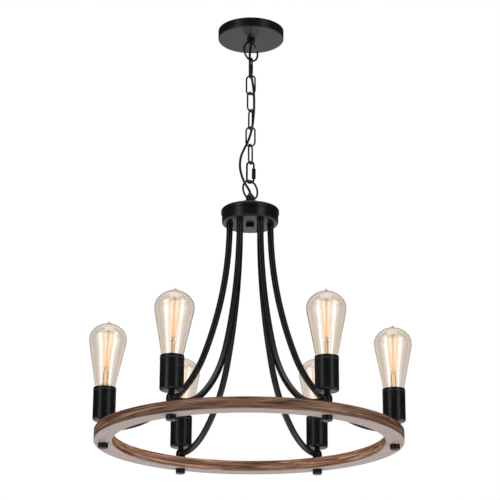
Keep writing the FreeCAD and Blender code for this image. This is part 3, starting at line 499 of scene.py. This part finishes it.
def make_cable():
    """The lead down the chain, in stretches that each span one joint."""
    points = route_points(CABLE_ROUTE)
    frames = framed(points)
    limits = [math.inf, *CABLE_CUTS, -math.inf]
    for i, (top, bottom) in enumerate(zip(limits, limits[1:])):
        name = f"supply_cable_{i + 1}"
        inside = [k for k, p in enumerate(points) if bottom < p.z <= top]
        first, last = max(inside[0] - 1, 0), inside[-1]
        path = held(frames[first : last + 1])
        mesh = tube_mesh(name, path, CABLE_DIAMETER / 2, CABLE_SIDES)
        piece = new_piece(name, mesh, CABLE_SKIN)
        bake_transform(piece)
        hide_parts("supply_cable")


make_cable()


# Bulb insides and screw caps

# Outline of the glass mount, as (radius, height above the cap's top): its flared foot, pinch, stem
# and button
MOUNT_OUTLINE = (
    (0.0108, -0.0070),
    (0.0104, -0.0052),
    (0.0082, -0.0010),
    (0.0064, 0.0040),
    (0.0054, 0.0095),
    (0.0049, 0.0150),
    (0.0048, 0.0290),
    (0.0042, 0.0325),
    (0.0022, 0.0350),
    (0.0014, 0.0380),
    (0.0013, 0.0600),
    (0.0013, 0.0985),
    (0.0022, 0.1005),
    (0.0025, 0.1025),
    (0.0019, 0.1044),
    (0.0000, 0.1050),
)
MOUNT_SIDES = 28

# The filament's cage, with heights above the cap's top, and the wires that hold it
CAGE_HOOKS = 6
CAGE_BEND_SHARE = 0.22
CAGE_BEND_RISES = (0.0011, 0.0003, 0.0, 0.0003, 0.0011)
CAGE_TOP = 0.0985
CAGE_TOP_RADIUS = 0.0098
CAGE_FOOT = 0.0400
CAGE_FOOT_RADIUS = 0.0040
FILAMENT_RADIUS = 0.00034
HOOK_RADIUS = 0.00028
LEAD_RADIUS = 0.00045
WIRE_SIDES = 6

# A hook's points, each as (share of the cage's radius, length beyond it, rise past the cage's end)
HOOK_BENDS = (
    (0.0, 0.0009, 0.0028),
    (0.45, 0.0, 0.0030),
    (0.85, 0.0, 0.0022),
    (1.0, 0.0004, 0.0009),
    (1.0, 0.0002, -0.0005),
    (1.0, -0.0007, -0.0003),
)

# A lead's points, as (distance from the axis, height above the cap's top)
LEAD_POINTS = (
    (0.0026, -0.0040),
    (0.0024, 0.0120),
    (0.0028, 0.0335),
    (0.0034, 0.0370),
    (CAGE_FOOT_RADIUS, CAGE_FOOT),
)

# The press: the stem's flattened stretch
PRESS_FOOT = 0.002
PRESS_TOP = 0.036
PRESS_SQUEEZE = 0.5
PRESS_ROUNDING = 0.6

# The screw cap, with heights above its foot: the thread lies between two plain bands of the shell
CAP_HEIGHT = 0.026
CAP_RADIUS = 0.013
CAP_SIDES = 48
SHELL_FOOT = 0.006
SHELL_INSIDE_SHARE = 0.955
SHELL_LEVELS = 56
THREAD_FOOT = 0.0072
THREAD_TOP = 0.0212
THREAD_PITCH = 0.0036
THREAD_DEPTH = 0.00055
THREAD_RUNOUT = 0.0015
INSULATOR_OUTLINE = (
    (0.0046, 0.0012),
    (0.0056, 0.0016),
    (0.0092, 0.0040),
    (0.0122, 0.0060),
    (0.0122, 0.0070),
    (0, 0.0070),
)
CONTACT_OUTLINE = ((0, 0), (0.0026, 0.0002), (0.0044, 0.0009), (0.0049, 0.0016), (0.0049, 0.0022))


def bulb_place(i):
    """Where a bulb's glass sits, its own axis up and its foot at the cap's top."""
    share = i / LIGHTS
    centre = around(LIGHT_CIRCLE, share, BULB_CAP_TOP + BULB_LIFTS[i])
    lean = Matrix.Rotation(math.radians(BULB_LEANS[i]), 4, "Y")
    return Matrix.Translation(centre) @ lean @ Matrix.Rotation(2 * math.pi * share, 4, "Z")


def turned_mesh(name, outline, sides):
    """A smooth turned shape from (radius, height) points, closed where the radius is nought."""
    made = bmesh.new()
    rings = []
    for radius, height in outline:
        if radius == 0:
            rings.append([made.verts.new((0, 0, height))])
            continue
        turns = [2 * math.pi * k / sides for k in range(sides)]
        rings.append([made.verts.new((radius * math.cos(t), radius * math.sin(t), height)) for t in turns])
    for first, second in zip(rings, rings[1:]):
        for k in range(sides):
            corners = [first[k % len(first)], first[(k + 1) % len(first)]]
            corners += [second[(k + 1) % len(second)], second[k % len(second)]]
            made.faces.new(list(dict.fromkeys(corners)))
    for ring in (rings[0], rings[-1]):
        if len(ring) > 1:
            made.faces.new(ring)
    bmesh.ops.recalc_face_normals(made, faces=made.faces)
    mesh = bpy.data.meshes.new(name)
    made.to_mesh(mesh)
    made.free()
    smooth(mesh)
    return mesh


def around(radius, share, height):
    """A point at a share of a turn about the axis."""
    turn = 2 * math.pi * share
    return Vector((radius * math.cos(turn), radius * math.sin(turn), height))


def cage_points():
    """The filament's path, up and down between the upper and the lower hooks, rounded at each."""
    points = []
    runs = 2 * CAGE_HOOKS - 1
    for j in range(runs + 1):
        share = j / (runs + 1)
        top = j % 2 == 1
        radius, height = (CAGE_TOP_RADIUS, CAGE_TOP) if top else (CAGE_FOOT_RADIUS, CAGE_FOOT)
        inward = -1 if top else 1
        middle = len(CAGE_BEND_RISES) // 2
        step = CAGE_BEND_SHARE / (runs + 1) / middle
        for k, rise in enumerate(CAGE_BEND_RISES):
            points.append(around(radius, share + (k - middle) * step, height + inward * rise))
    return points


def hook_points(share, top):
    """A support wire out from the stem, with its end bent round the filament."""
    radius, height, outward = (CAGE_TOP_RADIUS, CAGE_TOP, 1) if top else (CAGE_FOOT_RADIUS, CAGE_FOOT, -1)
    points = []
    for part, beyond, rise in HOOK_BENDS:
        points.append(around(part * radius + beyond, share, height + outward * rise))
    return points


def put_in_bulb(place, node, body, pieces):
    """Puts pieces, each as (mesh, material, slot), into a bulb where its own node was; the slot is not used.
    """
    for mesh, material, slot in pieces:
        mesh.transform(place)
        piece = new_piece(mesh.name, mesh, material)
        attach(piece, body)
        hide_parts(node)


def joined_mesh(name, meshes):
    """One mesh from several."""
    made = bmesh.new()
    for mesh in meshes:
        made.from_mesh(mesh)
        bpy.data.meshes.remove(mesh)
    whole = bpy.data.meshes.new(name)
    made.to_mesh(whole)
    made.free()
    return whole


def make_bulb_inside(i):
    """The glass mount, its support wires and leads, and the caged filament of one bulb."""
    mount = turned_mesh(f"bulb_mount_{i + 1}", MOUNT_OUTLINE, MOUNT_SIDES)
    for point in mount.vertices:
        share = (point.co.z - PRESS_FOOT) / (PRESS_TOP - PRESS_FOOT)
        if 0 < share < 1:
            point.co.y *= 1 - PRESS_SQUEEZE * math.sin(math.pi * share) ** PRESS_ROUNDING
    runs = 2 * CAGE_HOOKS
    hooks = []
    for j in range(runs):
        path = framed(hook_points(j / runs, j % 2 == 1))
        hooks.append(tube_mesh("hook", path, HOOK_RADIUS, WIRE_SIDES))
    for side in (1, -1):
        lead = [Vector((side * away, 0, height)) for away, height in LEAD_POINTS]
        hooks.append(tube_mesh("lead", framed(lead), LEAD_RADIUS, WIRE_SIDES))
    wires = joined_mesh(f"bulb_wires_{i + 1}", hooks)
    strands = tube_mesh(f"bulb_strands_{i + 1}", framed(cage_points()), FILAMENT_RADIUS, WIRE_SIDES)
    pieces = (
        (mount, MOUNT_GLASS, "amber_glass"),
        (wires, LEAD_WIRE, "zinc_steel"),
        (strands, FILAMENT, "filament"),
    )
    put_in_bulb(bulb_place(i), f"bulb_filament_{i + 1}", f"bulb_{i + 1}", pieces)


def thread_mesh(name):
    """The cap's thin shell with a rolled thread between a plain band and a tapered foot."""
    made = bmesh.new()
    rows = []
    for level in range(SHELL_LEVELS + 1):
        height = SHELL_FOOT + (CAP_HEIGHT - SHELL_FOOT) * level / SHELL_LEVELS
        run = min(height - THREAD_FOOT, THREAD_TOP - height) / THREAD_RUNOUT
        share = max(0.0, min(1.0, run))
        row = []
        for k in range(CAP_SIDES):
            turn = 2 * math.pi * k / CAP_SIDES
            wave = 0.5 - 0.5 * math.cos(2 * math.pi * (height / THREAD_PITCH) - turn)
            radius = CAP_RADIUS - THREAD_DEPTH * (1.0 - share) - 2 * THREAD_DEPTH * share * wave
            row.append(made.verts.new((radius * math.cos(turn), radius * math.sin(turn), height)))
        rows.append(row)
    inside = Vector((SHELL_INSIDE_SHARE, SHELL_INSIDE_SHARE, 1))
    rows += [[made.verts.new(corner.co * inside) for corner in row] for row in (rows[-1], rows[0])]
    rows.append(rows[0])
    for first, second in zip(rows, rows[1:]):
        for k in range(CAP_SIDES):
            after = (k + 1) % CAP_SIDES
            made.faces.new((first[k], first[after], second[after], second[k]))
    bmesh.ops.recalc_face_normals(made, faces=made.faces)
    mesh = bpy.data.meshes.new(name)
    made.to_mesh(mesh)
    made.free()
    smooth(mesh)
    return mesh


def make_bulb_cap(i):
    """The screw cap of one bulb: threaded shell, black glass cone with its floor, and the contact."""
    place = Matrix.Translation(around(LIGHT_CIRCLE, i / LIGHTS, BULB_CAP_TOP - CAP_HEIGHT))
    shell = thread_mesh(f"bulb_shell_{i + 1}")
    insulator = turned_mesh(f"bulb_insulator_{i + 1}", INSULATOR_OUTLINE, CAP_SIDES)
    contact = turned_mesh(f"bulb_contact_{i + 1}", CONTACT_OUTLINE, CAP_SIDES)
    pieces = (
        (shell, BRASS, "bulb_brass"),
        (insulator, HOLDER, "black_holder"),
        (contact, ZINC, "zinc_steel"),
    )
    put_in_bulb(place, f"bulb_cap_{i + 1}", f"bulb_{i + 1}", pieces)


for light in range(LIGHTS):
    make_bulb_inside(light)
    make_bulb_cap(light)


# Dressing of the solids' own pieces

dress(ZINC, "crossbar", "canopy_nipple", "nipple_locknut", "arm_locknuts")
dress(GREEN, "ground_screw")
dress(BLACK, "canopy", "canopy_loop", "hub_loop", "hub_cap", "hub_cup", "hub_rod", "hub_cap_nut")
dress(BLACK, "arm_ferrules", "knuckles", "cap_nuts", "ring_nipples", "socket_nipples")
dress(BLACK, *numbered("arm"), *numbered("socket_cup"))
dress(BLACK_CHAIN, *(f"chain_link_{i + 1}" for i in range(LINKS)), "quick_link", "quick_link_sleeve")
dress(WOOD, "ring")
dress(HOLDER, "lampholders")
dress(GLASS, *numbered("bulb_glass"))


# Studio

FLOOR_HEIGHT = -2.6
FLOOR_RADIUS = 9
FLOOR_SIDES = 96
FLOOR_WHITENESS = 0.8
FLOOR_TONE = (0.92, 0.92, 0.92, 1)
FLOOR_ROUGHNESS = 0.9
WORLD_LEVEL = 0.85
SIDE_LEVEL = 0.05

# Each band as (slope of the view where it starts and where it ends, brightness there and there)
BELOW_BAND = (-0.22, -0.04, 1.0, SIDE_LEVEL)
ABOVE_BAND = (0.62, 0.95, 0.0, 1.0 - SIDE_LEVEL)

# Each lamp as (name, place, point that it faces, size, power)
LAMPS = (
    ("left", (-2.3, -2.2, 0.1), (0, 0, -0.5), (0.9, 2.6), 21),
    ("right", (2.3, -2.2, 0.1), (0, 0, -0.5), (0.9, 2.6), 19),
    ("top", (0, -0.6, 2.2), (0, 0, -0.4), (2, 2), 22),
    ("low_left", (-1.7, 0.3, -2.3), (0, 0, -0.7), (0.8, 0.8), 9),
    ("low_right", (1.7, 0.3, -2.3), (0, 0, -0.7), (0.8, 0.8), 9),
)


def make_world(level):
    """A world that lights softly, white where it is seen, and dim round the sides where paint mirrors it."""
    world = bpy.data.worlds.new("studio")
    bpy.context.scene.world = world
    world.use_nodes = True
    tree = world.node_tree
    tree.nodes.clear()
    path = add(tree, "LightPath").outputs
    up = add(tree, "SeparateXYZ", {"Vector": add(tree, "TexCoord").outputs["Generated"]}).outputs["Z"]
    below = ranged(tree, up, *BELOW_BAND)
    above = ranged(tree, up, *ABOVE_BAND)
    mirrored = maths(tree, "MULTIPLY", path["Is Glossy Ray"], maths(tree, "ADD", below, above))
    clear = maths(tree, "MAXIMUM", path["Is Camera Ray"], path["Is Transmission Ray"])
    lit = maths(tree, "SUBTRACT", 1.0, maths(tree, "MAXIMUM", path["Is Glossy Ray"], clear))
    shown = maths(tree, "MAXIMUM", mirrored, clear)
    strength = maths(tree, "ADD", maths(tree, "MULTIPLY", lit, level), shown)
    shine = add(tree, "Background", {"Color": (1, 1, 1, 1), "Strength": strength})
    out = add(tree, "OutputWorld")
    tree.links.new(shine.outputs["Background"], out.inputs["Surface"])


def make_floor():
    """A wide pale floor."""
    made = bmesh.new()
    bmesh.ops.create_circle(made, cap_ends=True, segments=FLOOR_SIDES, radius=FLOOR_RADIUS)
    mesh = bpy.data.meshes.new("floor")
    made.to_mesh(mesh)
    made.free()
    floor = bpy.data.objects.new("floor", mesh)
    floor.location.z = FLOOR_HEIGHT
    bpy.context.collection.objects.link(floor)
    material, tree, shader = new_material("floor", {"Base Color": FLOOR_TONE, "Roughness": FLOOR_ROUGHNESS})
    path = add(tree, "LightPath").outputs
    seen = maths(tree, "MAXIMUM", path["Is Camera Ray"], path["Is Transmission Ray"])
    share = maths(tree, "MULTIPLY", maths(tree, "MAXIMUM", seen, path["Is Glossy Ray"]), FLOOR_WHITENESS)
    white = add(tree, "Emission").outputs["Emission"]
    blend = add(tree, "MixShader", {0: share, 1: shader.outputs["BSDF"], 2: white})
    tree.links.new(blend.outputs["Shader"], tree.nodes["Material Output"].inputs["Surface"])
    mesh.materials.append(material)


def make_lamp(name, place, target, size, power):
    """A soft rectangular lamp that faces a target."""
    data = bpy.data.lights.new(name, "AREA")
    data.shape = "RECTANGLE"
    data.size, data.size_y = size
    data.energy = power
    thing = bpy.data.objects.new(name, data)
    bpy.context.collection.objects.link(thing)
    direction = Vector(target) - Vector(place)
    thing.matrix_world = Matrix.Translation(place) @ direction.to_track_quat("-Z", "Y").to_matrix().to_4x4()


make_world(WORLD_LEVEL)
make_floor()
for settings in LAMPS:
    make_lamp(*settings)
